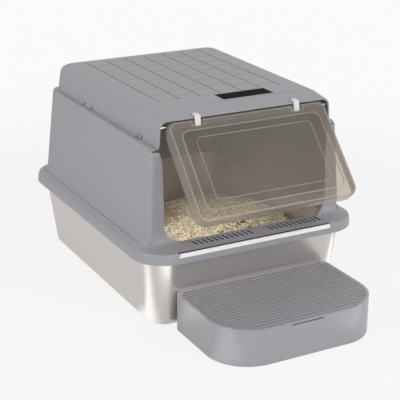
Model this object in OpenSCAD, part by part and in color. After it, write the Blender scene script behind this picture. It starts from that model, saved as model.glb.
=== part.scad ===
// Enclosed cat litter box: a deep-drawn steel pan, a plastic surround with a skirted rim,
// a lid with a brick pattern, a clear swinging flap and a ribbed step box.
// Millimetres, +Z up, the entry faces -Y, origin at the middle of the pan's flat base.

/* [Pan] */
// Width of the pan's base, before its rounded edge
pan_base_w = 398; // [380:1:410]
// Length of the pan's base, front to back
pan_base_l = 518; // [500:1:524]
// Height of the pan's rolled rim
pan_h = 158; // [146:1:170]
// Corner radius of the base in plan
pan_corner_r = 38; // [30:1:50]
// Radius between the base and the walls
pan_foot_r = 14; // [8:1:20]
// Slope of the walls from upright, in degrees
pan_draft = 7.9; // [5:0.1:8.2]
// Thickness of the steel
pan_t = 1.2; // [0.8:0.1:2]
// Width of the rolled rim
pan_roll = 6; // [5:0.5:7]

/* [Surround] */
// How far the skirt stands out past the pan's rim at each side
skirt_side = 6; // [4:0.5:10]
// How far the skirt stands out past the pan's rim at the front and the back
skirt_ends = 15; // [12:0.5:20]
// Corner radius of the skirt in plan
rim_r = 64; // [56:1:72]
// How far the skirt hangs below the pan's rim
skirt_drop = 17; // [12:1:24]
// Wall thickness of the mouldings
wall_t = 3; // [2.5:0.1:3.5]
// Distance from the skirt to a side wall at its foot
foot_side = 24.5; // [22:0.5:28]
// How far each side wall leans in from its foot to its top edge
wall_lean = 10.5; // [8:0.5:14]
// Radius of the walls' front corners
wall_r_front = 8; // [5:1:18]
// Radius of the walls' back corners
wall_r_back = 26; // [20:1:32]
// Radius that rounds off the walls' top edge at the front
shoulder_r = 18; // [8:1:22]
// Distance from the skirt to the front wall at its foot
foot_front = 47; // [44:1:50]
// Distance from the skirt to the back wall at its foot
foot_back = 33; // [28:1:36]
// Height of the walls' top edge
wall_top_z = 343; // [320:1:360]
// Height of the lip that hangs inside the pan
lip_drop = 18; // [12:1:26]

/* [Entry] */
// Width of the wall on each side of the front opening
pillar_w = 23; // [20:0.5:30]
// Radius of the opening's lower corners
entry_r = 34; // [24:1:50]
// Slots in the left group on the sill
slots_left = 12; // [4:1:12]
// Slots in the right group on the sill
slots_right = 11; // [4:1:11]
// Spacing of the slots
slot_pitch = 10.6; // [9.5:0.1:10.8]
// Width of a slot
slot_w = 4; // [2:0.1:5]
// Length of a slot
slot_l = 19; // [12:1:20]
// Distance from the skirt's side to the end of the bright strip
strip_inset = 70; // [68:1:90]
// Height of the bright strip
strip_h = 8; // [6:0.5:8]

/* [Lid] */
// How much nearer the middle each side of the lid is at the front than at the back
lid_taper = 5.5; // [0:0.5:8]
// Height of the lid's flat top
lid_top_z = 401; // [392:1:412]
// Radius along the top edges
lid_edge_r = 16; // [10:1:18]
// Distance from the top edge of the wall to the lid's side
ledge_w = 12; // [11:0.5:14]
// Plank width of the lid's pattern
plank_w = 43.6; // [36:0.1:44]
// Planks across the lid
plank_count = 6; // [3:1:6]
// Tile length along a plank
tile_l = 43.6; // [36:0.1:90]
// Width of the pattern's grooves
groove_w = 1.6; // [1:0.1:3]
// Depth of the pattern's grooves
groove_d = 1.1; // [0.5:0.1:1.5]
// Length of the bare plate near the front edge
plate_l = 106; // [80:1:120]
// Depth of the plate, front to back
plate_w = 36; // [24:1:36]
// Thickness of the plate
plate_t = 2; // [1.6:0.1:2.4]

/* [Flap] */
// Room between the flap's side and the lid's side
cheek_gap = 14; // [12:0.5:20]
// Height of the flap from its top edge to its bottom edge
flap_h = 196; // [178:1:200]
// How deep the flap's rim is behind its face
flap_depth = 22; // [16:1:24]
// Thickness of the flap
flap_t = 1.8; // [1.4:0.1:2.4]
// How far open the flap stands, in degrees
flap_open = 42.2; // [0:0.1:80]
// Diameter of the hinge rod
rod_d = 5; // [4:0.1:5.5]
// Distance between the two hinge straps
strap_span = 207; // [180:1:220]
// Width of a hinge strap
strap_w = 11.5; // [8:0.5:13]

/* [Step] */
// Width of the step
step_w = 328; // [300:1:340]
// Depth of the step, front to back
step_l = 205; // [190:1:220]
// Height of the step
step_h = 71; // [60:1:80]
// Radius of the step's front corners in plan
step_r = 81; // [60:1:90]
// Distance from the pan's wall to the step's upper back edge
step_gap = 0.4; // [0.3:0.1:20]
// Sideways place of the step in front of the pan
step_shift = 3; // [-20:1:20]
// Width of the rim round the step's lid
step_rim = 6.2; // [6:0.1:8]
// Spacing of the ribs on the step's lid
rib_pitch = 9.4; // [8:0.1:14]
// Height of the ribs
rib_h = 1.2; // [0.6:0.1:1.6]

/* [Litter] */
// Depth of the litter in the middle
litter_d = 46; // [36:1:60]
// Height of the bank that a cat has pushed to one side
litter_bank = 44; // [20:1:46]

/* [Hidden] */
arc_n = 8;
seat_gap = 0.2;
run_gap = 0.05;
fit_gap = 0.6;
eps = 0.01;

grey = [0.62, 0.62, 0.64];
steel = [0.75, 0.73, 0.71];
white = [0.93, 0.93, 0.92];
clear = [0.80, 0.78, 0.72, 0.5];

pan_hx = pan_base_w / 2;
pan_hy = pan_base_l / 2;
pan_spread = (pan_h - pan_foot_r) * tan(pan_draft) + pan_roll;
rim_hx = pan_hx + pan_spread + skirt_side;
rim_hy = pan_hy + pan_spread + skirt_ends;
skirt_z = pan_h - skirt_drop;
seat_z = pan_h + seat_gap;
shelf_z = seat_z + wall_t;

top_side = foot_side + wall_lean;
top_hx = rim_hx - top_side;
foot_z = shelf_z + 27;
top_front = foot_front + 6;
top_back = foot_back + 21;
wall_front_y = -rim_hy + top_front;
sill_z = shelf_z + 3.4;

lip_t = 2.4;
lip_gap = 3.6;
lip_side = rim_hx - pan_hx - (pan_h - lip_drop - pan_foot_r) * tan(pan_draft) + pan_t + lip_gap;
lip_back = rim_hy - pan_hy - (pan_h - lip_drop - pan_foot_r) * tan(pan_draft) + pan_t + lip_gap;
lip_front = 41.5;

lid_back_hx = top_hx - ledge_w;
lid_front_hx = lid_back_hx - lid_taper;
lid_front_y = wall_front_y;
lid_back_y = rim_hy - top_back - ledge_w - 8;
flange_z = wall_top_z + seat_gap;
flange_t = 3;
fold_y = lid_front_y + 45;
front_fall = 0.14;
notch_ys = [80, 42, -168, -181];
ledge_gap = 0.4;

axis_y = lid_front_y + 7;
axis_z = lid_top_z - 21;
rod_r = rod_d / 2;
rod_reach = lid_front_hx - 1.4;
flap_hx = lid_front_hx - cheek_gap;
strap_xs = [-strap_span / 2, strap_span / 2];
face_out = 12.1;
flap_rise = 4;
strap_t = 2.2;
strap_back = 2.8;
strap_room = 2.5;
strap_lean = 3.6;

step_back_y = -pan_hy - (step_h - pan_foot_r) * tan(pan_draft) - step_gap;
step_front_y = step_back_y - step_l;
step_wall = 3;
step_plate_t = 4;
step_pin_r = 3;
step_barrel_r = 4.5;
step_axis_y = step_back_y - step_rim - 0.3 - step_barrel_r;
step_axis_z = step_h - step_barrel_r;
step_back_r = 13;

// Points of an arc from angle a to angle b
function arc_points(cx, cy, r, a, b) =
    [for (i = [0:arc_n]) let (t = a + (b - a) * i / arc_n) [cx + r * cos(t), cy + r * sin(t)]];

// Rounded outline, anticlockwise, with its own half width and radius at the front and the back
function outline(hf, hb, yf, yb, rf, rb) = concat(
    arc_points(hf - rf, yf + rf, rf, -90, 0),
    arc_points(hb - rb, yb - rb, rb, 0, 90),
    arc_points(-hb + rb, yb - rb, rb, 90, 180),
    arc_points(-hf + rf, yf + rf, rf, 180, 270));

// The same outline with one more point on each side, at k between front and back
function kneed(hf, hb, yf, yb, rf, rb, k) = let (h = hf + (hb - hf) * (k - yf) / (yb - yf)) concat(
    arc_points(hf - rf, yf + rf, rf, -90, 0), [[h, k]],
    arc_points(hb - rb, yb - rb, rb, 0, 90),
    arc_points(-hb + rb, yb - rb, rb, 90, 180), [[-h, k]],
    arc_points(-hf + rf, yf + rf, rf, 180, 270));

// A level outline lifted to height z
function level(points, z) = [for (p = points) [p.x, p.y, z]];

// Joins rings of equal point counts into one closed surface, capped or joined end to end
module skin(rings, loop = false) {
    n = len(rings[0]);
    m = len(rings);
    last = loop ? m - 1 : m - 2;
    points = [for (ring = rings) each ring];
    sides = [for (k = [0:last], i = [0:n - 1])
        let (a = k * n + i, b = k * n + (i + 1) % n, up = ((k + 1) % m - k) * n)
        each [[a, a + up, b + up], [a, b + up, b]]];
    caps = loop ? [] : [[for (i = [0:n - 1]) i], [for (i = [n - 1:-1:0]) (m - 1) * n + i]];
    polyhedron(points, concat(caps, sides), convexity = 10);
}

// Flat rounded plate with true arcs, used for the step
module rounded_plate(hx, yf, yb, rf, rb, h) {
    linear_extrude(h) union() {
        translate([-hx + rf, yf]) square([2 * (hx - rf), yb - yf]);
        translate([-hx, yf + rf]) square([2 * hx, yb - rb - yf - rf]);
        translate([-hx + rb, yb - rb - 1]) square([2 * (hx - rb), rb + 1]);
        for (s = [-1, 1]) {
            translate([s * (hx - rf), yf + rf]) circle(rf, $fn = 96);
            translate([s * (hx - rb), yb - rb]) circle(rb, $fn = 48);
        }
    }
}

// Plain rounded rectangle in the XY plane, centred on x
module rounded_2d(w, y0, y1, r) {
    translate([-w / 2 + r, y0]) square([w - 2 * r, y1 - y0]);
    translate([-w / 2, y0 + r]) square([w, y1 - y0 - 2 * r]);
    for (x = [-w / 2 + r, w / 2 - r], y = [y0 + r, y1 - r]) translate([x, y]) circle(r, $fn = 48);
}

// Pan outline grown outward by d, at height z
function pan_ring(d, z) = level(outline(pan_hx + d, pan_hx + d, -pan_hy - d, pan_hy + d,
    pan_corner_r + d, pan_corner_r + d), z);
// Outward growth of the drafted wall at height z
function pan_growth(z) = (z - pan_foot_r) * tan(pan_draft);
// Foot fillet of radius r that starts at growth d0 and height z0
function foot_arc(r, d0, z0) =
    [for (a = [90, 67.5, 45, 22.5, pan_draft]) [d0 - r + r * cos(a), z0 + r - r * sin(a)]];

module steel_pan() {
    wall_end = pan_growth(pan_h);
    roll_r = pan_roll / 2;
    outer = concat(foot_arc(pan_foot_r, 0, 0), [[wall_end - 1, pan_h - roll_r - 2]]);
    roll = [for (a = [-120:40:80]) [wall_end + roll_r * (1 + cos(a)), pan_h - roll_r + roll_r * sin(a)]];
    inner = concat([[wall_end - pan_t + 0.6, pan_h - 0.5], [wall_end - pan_t - 0.4, pan_h - roll_r]],
        [for (a = [pan_draft + 8:20:90]) [-pan_foot_r + (pan_foot_r - pan_t) * cos(a),
            pan_foot_r - (pan_foot_r - pan_t) * sin(a)]],
        [[-pan_foot_r, pan_t]]);
    color(steel) skin([for (p = concat(outer, roll, inner)) pan_ring(p[0], p[1])]);
}

// Height of the litter's uneven surface
function litter_z(x, y) = litter_d - 0.05 * y
    + litter_bank * exp(-pow((x - 200) / 120, 2) - pow(y / 190, 2));
function litter_edge(d, z) = pan_ring(d - pan_t - 0.4, z);

module litter_bed() {
    base = litter_edge(pan_growth(40), 0);
    rim = [for (i = [0:len(base) - 1]) let (z = litter_z(base[i].x, base[i].y))
        litter_edge(pan_growth(z), z)[i]];
    low = [for (d = [[-8.2, pan_t + 1.2], [-3, 6], [-1, pan_foot_r]]) litter_edge(d[0], d[1])];
    top = [for (s = [1:-0.14:0.16]) [for (p = rim) [p.x * s, p.y * s, litter_z(p.x * s, p.y * s)]]];
    centre = [for (p = rim) [p.x * 0.1, p.y * 0.1, litter_z(0, 0)]];
    color([0.60, 0.55, 0.42]) skin(concat([litter_edge(-12, pan_t + 0.4)], low, top, [centre]));
}

// Surround outline at its own distance inside the skirt on each side
function rim_ring(side, front, back, rf, rb, z) = level(outline(rim_hx - side, rim_hx - side,
    -rim_hy + front, rim_hy - back, rf, rb), z);
// Skirt and shelf, where the front and back shelves are wider than the side ones
function shelf_ring(side, front, back, z) =
    rim_ring(side, front, back, max(rim_r - 1.7 * side, wall_r_front), max(rim_r - 1.5 * side, wall_r_back), z);

// Drip lip, inside the pan's walls and behind the sill's slots
function lip_ring(d, z) = rim_ring(lip_side + d, lip_front + d, lip_back + d, 44, 50 - d, z);

module surround_shell() {
    t = wall_t;
    skirt = [shelf_ring(0, 0, 0, skirt_z), shelf_ring(0.6, 0.4, 0.6, skirt_z + 9),
        shelf_ring(2, 0.8, 2, skirt_z + 15), shelf_ring(5, 2.4, 5, shelf_z - 0.4),
        shelf_ring(8.5, 8, 12, shelf_z + 1.2)];
    bead = [shelf_ring(11, 31, 17, shelf_z + 3), shelf_ring(12, 34.5, 19.5, shelf_z + 5.6),
        shelf_ring(13.4, 36.5, 21.5, shelf_z + 6.2), shelf_ring(14.8, 38, 23, shelf_z + 5)];
    fillet = [shelf_ring(19, 42, 27.5, shelf_z + 9),
        shelf_ring(22.6, 45, 31, shelf_z + 16),
        rim_ring(foot_side, foot_front, foot_back, wall_r_front + 2, wall_r_back, foot_z)];
    upper = [rim_ring(top_side - 0.4, top_front - 0.4, top_back - 0.4, wall_r_front, wall_r_back, wall_top_z - 3),
        rim_ring(top_side + 0.6, top_front + 0.6, top_back + 0.6, wall_r_front, wall_r_back, wall_top_z),
        rim_ring(top_side + t, top_front + t, top_back + t, wall_r_front - t, wall_r_back - t, wall_top_z)];
    inside = [
        rim_ring(foot_side + t, foot_front + t, foot_back + t, wall_r_front - t, wall_r_back - t, foot_z),
        rim_ring(foot_side, foot_front - 1, foot_back, wall_r_front, wall_r_back, shelf_z + 1),
        lip_ring(lip_t + 0.6, seat_z + 1.5)];
    lip = [lip_ring(lip_t, pan_h - lip_drop), lip_ring(0, pan_h - lip_drop), lip_ring(-1, seat_z)];
    under = [rim_ring(t, t, t, rim_r - t, rim_r - t, seat_z), rim_ring(t, t, t, rim_r - t, rim_r - t, skirt_z)];
    skin(concat(skirt, bead, fillet, upper, inside, lip, under), loop = true);
}

// Front opening: rounded lower corners, flaring out at the very top
module entry_cut() {
    hx = top_hx - pillar_w;
    top = wall_top_z + 10;
    translate([0, -rim_hy + foot_front + 20, 0]) rotate([90, 0, 0]) linear_extrude(50) union() {
        translate([-hx + entry_r, sill_z]) square([2 * (hx - entry_r), top - sill_z]);
        translate([-hx, sill_z + entry_r]) square([2 * hx, top - sill_z - entry_r]);
        for (s = [-1, 1]) translate([s * (hx - entry_r), sill_z + entry_r]) circle(entry_r, $fn = 96);
        polygon([[-hx, wall_top_z - 60], [hx, wall_top_z - 60], [hx + 1, wall_top_z - 20],
            [hx + 4.5, wall_top_z - 8], [hx + 9, wall_top_z + 1], [hx + 9, wall_top_z + 9],
            [-hx - 9, wall_top_z + 9], [-hx - 9, wall_top_z + 1], [-hx - 4.5, wall_top_z - 8],
            [-hx - 1, wall_top_z - 20]]);
    }
}

// Two groups of slanted slots let spilt litter fall back into the pan
module sill_slots() {
    slot_y = -rim_hy + 29.5;
    groups = [[-63, slots_left], [91, slots_right]];
    for (group = groups, i = [0:group[1] - 1])
        translate([group[0] + (i - (group[1] - 1) / 2) * slot_pitch, slot_y, shelf_z - wall_t - 6])
            rotate([0, 0, -74]) translate([-slot_l / 2, -slot_w / 2, 0]) cube([slot_l, slot_w, 18]);
}

// Bright strip along the front of the skirt, cut slanting at its left end
module strip_shape(grow, y0, y1) {
    h = strip_h / 2 + grow;
    hx = strip_l / 2 + grow;
    translate([strip_x, y1, strip_z]) rotate([90, 0, 0]) linear_extrude(y1 - y0)
        polygon([[-hx, -h], [hx, -h], [hx, h], [-hx + h, h]]);
}

strip_back_y = -rim_hy + 2.2;
strip_x = -6;
strip_l = 2 * (rim_hx - strip_inset);
strip_z = skirt_z + 15.5;

// Upright block with the outline of the lid's foot, drawn out by grow, between two heights
module lid_foot(grow, z0, z1) {
    translate([0, 0, z0]) linear_extrude(z1 - z0) polygon(kneed(lid_front_hx + 3.2 + grow,
        lid_back_hx + 3.2 + grow, lid_front_y - 20, lid_back_y + 11 + grow, 2, 20, fold_y));
}

// Space in front of the walls and the lid
module front_side(depth, top) {
    translate([-rim_hx, wall_front_y - depth, wall_top_z - 12]) cube([2 * rim_hx, depth, top - wall_top_z + 12]);
}

// Ledge round the lid's foot, and the narrow seat below it that the foot stands on
module wall_ledge() {
    difference() {
        translate([0, 0, -2 * seat_gap]) lid_shell();
        translate([-rim_hx, -rim_hy, wall_top_z - 20.4]) cube([2 * rim_hx, 2 * rim_hy, 20]);
        lid_foot(ledge_gap, wall_top_z - 12, lid_top_z + 5);
    }
    translate([0, 0, wall_top_z - 2.6]) linear_extrude(3) difference() {
        polygon([for (p = flange_ring(1, 0)) [p[0], p[1]]]);
        polygon([for (p = lid_ring(2, -4, 20, 0)) [p[0], p[1]]]);
    }
}

// Removes what stands out past the round front shoulders and corners of the walls
module shoulder_cut() {
    top = flange_z + flange_t - 0.4;
    translate([-rim_hx, wall_front_y, top - shoulder_r]) rotate([90, 0, 90]) linear_extrude(2 * rim_hx) difference() {
        translate([-1, 0]) square([shoulder_r + 1, shoulder_r + 5]);
        translate([shoulder_r, 0]) circle(shoulder_r, $fn = 96);
    }
    for (s = [-1, 1]) translate([s * (top_hx - wall_r_front), wall_front_y + wall_r_front, wall_top_z - 3])
        linear_extrude(20) difference() {
            translate([s > 0 ? 0 : -wall_r_front - 2, -wall_r_front - 2])
                square([wall_r_front + 2, wall_r_front + 2]);
            circle(wall_r_front, $fn = 96);
        }
}

// Small dark notches in the seam between the ledge and the lid's foot
module seam_notches() {
    for (s = [-1, 1], y = notch_ys) {
        foot = lid_front_hx + 3.2 + lid_taper * (y - lid_front_y) / (lid_back_y - lid_front_y);
        translate([s * (foot + 0.4) - 2.4, y - 2.2, wall_top_z + 0.8]) cube([4.8, 4.4, 12]);
    }
}

module surround() {
    color(grey) {
        difference() {
            union() {
                surround_shell();
                wall_ledge();
            }
            front_side(60, lid_top_z);
            shoulder_cut();
            seam_notches();
            entry_cut();
            sill_slots();
            strip_shape(0.2, -rim_hy - 5, strip_back_y);
            translate([strip_x - strip_l / 2, -rim_hy - 5, strip_z + strip_h / 2]) cube([strip_l, 8, 1.5]);
        }
    }
}

module front_strip() {
    color(white) strip_shape(0, -rim_hy - 1, strip_back_y - eps);
}

// Lid outline, narrower at the front, falling toward the front edge above the shoulder
function lid_ring(side, back, rb, z) =
    let (hb = lid_back_hx - side, hf = lid_front_hx - side, yf = lid_front_y - 15)
    [for (p = kneed(hf, hb, yf, lid_back_y - back, 8, rb, fold_y))
        [p.x, p.y, z - (z > lid_top_z - 20 ? front_fall * max(0, fold_y - p.y) : 0)]];
// Flat panel behind the fold, where the pattern lies
function lid_panel(side, z) = level(kneed(lid_front_hx - side, lid_back_hx - side,
    fold_y, lid_back_y - side, 1, 20, fold_y + 3), z);
// Flange ring that rests on the surround's top edge
function flange_ring(d, z) = let (hx = top_hx - d)
    level(kneed(hx, hx, lid_front_y - 15 + d / 4, rim_hy - top_back - d, 8, wall_r_back - d, fold_y), z);
// Quarter round of the lid's top edge, seen in section, for a radius r and an offset t
function edge_arc(r, t) =
    [for (a = [15:18.75:90]) [r - (r - t) * cos(a), lid_top_z - r + (r - t) * sin(a)]];

module lid_shell() {
    r = lid_edge_r;
    t = wall_t;
    foot = flange_z + flange_t;
    inside = concat([lid_panel(r + 3, lid_top_z - t)],
        [for (i = [4:-1:0]) let (p = edge_arc(r, t)[i]) lid_ring(p[0], p[0], 20, p[1])],
        [lid_ring(t - 1, t - 6, 20, foot + 20), lid_ring(t - 1.6, t - 9, 20, foot + 6),
            lid_ring(-1, -9, 20, foot - 2.4), flange_ring(6.2, foot - 3.2), flange_ring(6.2, wall_top_z - 7)]);
    under = [flange_ring(wall_t + fit_gap + 0.4, wall_top_z - 7), flange_ring(wall_t + fit_gap, flange_z),
        flange_ring(0.5, flange_z)];
    outside = concat([flange_ring(0.5, foot - 1.2), flange_ring(1.8, foot)],
        [lid_ring(-4, -12, 20, foot + 1), lid_ring(-1.6, -9.5, 20, foot + 5),
            lid_ring(-1, -8, 20, foot + 12), lid_ring(-0.6, -6, 20, foot + 22)],
        [for (p = edge_arc(r, 0)) lid_ring(p[0], p[0], 20, p[1])],
        [lid_panel(r + 3, lid_top_z)]);
    skin(concat(inside, under, outside));
}

// Grooves of the brick pattern, staggered from plank to plank
module brick_grooves() {
    y0 = lid_front_y + 100;
    y1 = lid_back_y - lid_edge_r - 12;
    half = plank_count * plank_w / 2;
    z = lid_top_z - groove_d;
    for (i = [0:plank_count]) translate([-half + i * plank_w - groove_w / 2, y0, z])
        cube([groove_w, y1 - y0, 5]);
    for (i = [0:plank_count - 1], y = [y0 + (i % 2) * tile_l / 2 : tile_l : y1])
        translate([-half + i * plank_w, y, lid_top_z - groove_d / 2]) cube([plank_w, groove_w, 5]);
    translate([-half, fold_y + 2, z]) cube([2 * half, groove_w, 5]);
}

// The bare plate lies in a shallow recess near the front edge
module plate_shape(grow, z, h) {
    translate([36 - plate_l / 2 - grow, fold_y + 12 - grow, z])
        cube([plate_l + 2 * grow, plate_w + 2 * grow, h]);
}

plate_recess = 1.3;

module lid() {
    color(grey) difference() {
        intersection() {
            lid_shell();
            lid_foot(0, wall_top_z - 12, lid_top_z + 5);
        }
        front_side(60, lid_top_z + 20);
        brick_grooves();
        plate_shape(0.3, lid_top_z - plate_recess, 10);
        seam_notches();
        for (x = strap_xs) translate([x - strap_w / 2 - 1, axis_y + strap_back - 3.5, axis_z])
            cube([strap_w + 2, 9, 40]);
        translate([-rod_reach - 0.3, axis_y, axis_z]) rotate([0, 90, 0])
            cylinder(r = rod_r + run_gap, h = 2 * rod_reach + 0.6, $fn = 48);
    }
}

module bare_plate() {
    color([0.15, 0.15, 0.16]) plate_shape(0, lid_top_z - plate_recess + eps, plate_t);
}

// Strap's arm in section: a bridge from the eye, an arm over the lid's edge and a hooked tongue in its slot
module strap_profile() {
    arm_y = lid_front_y - axis_y - 0.4;
    front_z = lid_top_z - front_fall * (fold_y - lid_front_y) - axis_z + 0.4;
    back_y = strap_back;
    back_z = front_z + front_fall * (back_y - arm_y);
    polygon([[arm_y - strap_t - strap_lean, -3], [arm_y - strap_t, front_z + 1], [arm_y - strap_t + 1.2, front_z + strap_t],
        [back_y, back_z + strap_t], [back_y, front_z - 7], [back_y - 3, front_z - 6],
        [back_y - strap_t, front_z - 4.5], [back_y - strap_t, back_z - 0.3], [arm_y, front_z],
        [arm_y - strap_lean * 0.6, 3], [-rod_r - 1, 3], [-rod_r - 1, -3]]);
}

// Strap with its eye round the rod
module strap(x) {
    color(white) translate([x - strap_w / 2, axis_y, axis_z]) rotate([90, 0, 90]) difference() {
        union() {
            linear_extrude(strap_w) strap_profile();
            cylinder(r = rod_r + 2.6, h = strap_w, $fn = 48);
        }
        translate([0, 0, -1]) cylinder(r = rod_r + run_gap, h = strap_w + 2, $fn = 48);
    }
}

module strap_left() { strap(strap_xs[0]); }
module strap_right() { strap(strap_xs[1]); }

// Flap ring: its outline drawn in by d, at depth z in front of the hinge
function flap_ring(d, z) = let (hx = flap_hx - d)
    level(outline(hx, hx, flap_rise - flap_h + d, flap_rise - d, max(20 - d, 1), max(12 - d, 1)), z);

module flap_dish() {
    back = face_out - flap_depth;
    t = flap_t;
    inside = [flap_ring(t + 3, face_out - t), flap_ring(t + 0.8, face_out - t - 1.2),
        flap_ring(t, face_out - t - 4), flap_ring(t - 0.6, back)];
    outside = [flap_ring(-0.6, back), flap_ring(0, face_out - 5), flap_ring(0.9, face_out - 2),
        flap_ring(2.4, face_out - 0.7), flap_ring(4.4, face_out)];
    skin(concat(inside, outside));
}

// Raised panel and the fine line inside it, pressed into the flap's face
module flap_panel() {
    raise = 1.5;
    y0 = flap_rise - flap_h + 20;
    y1 = flap_rise - 22;
    w = 2 * (flap_hx - 21);
    difference() {
        union() {
            flap_dish();
            translate([0, 0, face_out - flap_t / 2]) linear_extrude(raise + flap_t / 2) rounded_2d(w, y0, y1, 15);
        }
        translate([0, 0, face_out - flap_t - 1]) linear_extrude(raise + 1)
            rounded_2d(w - 2 * flap_t, y0 + flap_t, y1 - flap_t, 15 - flap_t);
        translate([0, 0, face_out + raise - 0.6]) linear_extrude(2) difference() {
            rounded_2d(w - 47, y0 + 16, y1 - 15, 10);
            rounded_2d(w - 50, y0 + 17.5, y1 - 16.5, 8.5);
        }
    }
}

module flap() {
    barrel_r = rod_r + 2.1;
    color(clear) translate([0, axis_y, axis_z]) rotate([-flap_open, 0, 0]) difference() {
        union() {
            rotate([90, 0, 0]) flap_panel();
            translate([-flap_hx + 3, 0, 0]) rotate([0, 90, 0]) cylinder(r = barrel_r, h = 2 * flap_hx - 6, $fn = 48);
        }
        translate([-rim_hx, 0, 0]) rotate([0, 90, 0]) cylinder(r = rod_r + run_gap, h = 2 * rim_hx, $fn = 48);
        for (x = strap_xs) translate([x - strap_w / 2 - strap_room, -face_out - 5, -10.5])
            cube([strap_w + 2 * strap_room, 60, 40]);
    }
}

module hinge_rod() {
    color([0.8, 0.8, 0.8]) translate([-rod_reach, axis_y, axis_z]) rotate([0, 90, 0])
        cylinder(r = rod_r, h = 2 * rod_reach, $fn = 48);
}

// Step outline drawn in by d, from height z over h
module step_solid(d, z, h) {
    translate([step_shift, 0, z]) rounded_plate(step_w / 2 - d, step_front_y + d, step_back_y - d,
        step_r - d, max(step_back_r - d, 1), h);
}

tongue_x0 = -107;
tongue_w = 212;
tongue_t = 2;
lid_under_z = step_h - step_plate_t;
ear_t = 6;
ear_x = step_w / 2 - step_rim - ear_t / 2 - 1;
ear_l = 5;
ear_gap = 2.6;

// Wide notch in the step's front rim, which the lid's front edge fills
module front_notch(grow, z) {
    translate([tongue_x0 - grow, step_front_y - 1, z]) cube([tongue_w + 2 * grow, 16, step_h - z + 1]);
}

module step_base() {
    ledge = step_rim + 3;
    pull_w = 65;
    color(grey) difference() {
        union() {
            difference() {
                step_solid(0, 0, step_h);
                step_solid(step_wall, 2.5, step_h - 2.5 - 9);
                step_solid(ledge, 2.5, step_h);
                step_solid(step_rim, lid_under_z - seat_gap, step_h);
            }
            for (s = [-1, 1]) translate([step_shift + s * ear_x - ear_t / 2, step_axis_y - ear_l, step_axis_z - 8])
                cube([ear_t, step_back_y - 1 - step_axis_y + ear_l, step_h - step_axis_z + 8]);
            for (s = [-1, 1]) translate([step_shift + s * (ear_x + 3) - ear_t / 2, step_axis_y - ear_l, step_axis_z - 8])
                cube([ear_t, ear_l + 6, step_h - step_axis_z + 8]);
        }
        front_notch(0, step_h - tongue_t - seat_gap);
        translate([-35, step_front_y - 1, step_h - 6.8]) cube([pull_w, 6, 2.6]);
        translate([step_shift - ear_x - ear_t, step_axis_y, step_axis_z]) rotate([0, 90, 0])
            cylinder(r = step_pin_r + run_gap, h = 2 * (ear_x + ear_t), $fn = 48);
        hinge_room();
    }
}

// Clear round channel for the lid's hinge barrel between the ears
module hinge_room() {
    reach = ear_x - ear_t / 2;
    translate([step_shift - reach, step_axis_y, step_axis_z]) rotate([0, 90, 0])
        cylinder(r = step_barrel_r + 0.3, h = 2 * reach, $fn = 64);
}

// Half width of the step's lid at a place between front and back
function step_half(y, d) = let (r = step_r - d, below = step_front_y + step_r - y)
    step_w / 2 - step_r + (below > 0 ? sqrt(max(r * r - below * below, 0)) : r);

module step_ribs() {
    y0 = step_front_y + 16;
    y1 = step_axis_y - rib_pitch * 0.56;
    for (y = [y0:rib_pitch:y1]) {
        behind = y + rib_pitch > step_axis_y - ear_l - ear_gap;
        hx = behind ? ear_x - ear_t / 2 - 0.3 : step_half(y, step_rim + 2.5);
        translate([step_shift - hx, y, step_h - eps]) cube([2 * hx, rib_pitch * 0.56, rib_h]);
    }
}

module step_lid() {
    gap = step_rim + fit_gap;
    reach = ear_x - ear_t / 2 - 0.3;
    ear_room = ear_t + 0.6;
    color(grey) {
        difference() {
            union() {
                intersection() {
                    step_solid(gap, lid_under_z, step_plate_t);
                    translate([-step_w, step_front_y - 1, 0]) cube([2 * step_w, step_axis_y - step_front_y + 1, step_h + 1]);
                }
                intersection() {
                    step_solid(0, step_h - tongue_t, tongue_t);
                    front_notch(-fit_gap, step_h - tongue_t);
                }
            }
            for (s = [-1, 1]) translate([step_shift + s * ear_x - ear_room / 2, step_axis_y - ear_l - ear_gap, 0])
                cube([ear_room, 20, step_h + 1]);
            for (s = [-1, 1]) translate([step_shift + s * (ear_x + 9) - 9, step_axis_y - ear_l - ear_gap, 0])
                cube([18, 20, step_h + 1]);
        }
        step_ribs();
        translate([step_shift - reach, step_axis_y, step_axis_z]) rotate([0, 90, 0])
            cylinder(r = step_barrel_r, h = 2 * reach, $fn = 64);
        translate([step_shift - ear_x - ear_t / 2 + 1, step_axis_y, step_axis_z]) rotate([0, 90, 0])
            cylinder(r = step_pin_r, h = 2 * ear_x + ear_t - 2, $fn = 48);
    }
}

steel_pan();
litter_bed();
surround();
front_strip();
lid();
bare_plate();
strap_left();
strap_right();
flap();
hinge_rod();
step_base();
step_lid();
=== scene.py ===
"""Enclosed cat litter box with a steel pan, grey mouldings, a clear flap and a ribbed step.

Metres, +Z up, the entry faces -Y, and the origin is the middle of the pan's base on the floor.
"""

import logging
import math
import random
from abc import ABC, abstractmethod
from dataclasses import dataclass, field
from enum import Enum
from typing import Any, Optional, Sequence, Union

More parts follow.
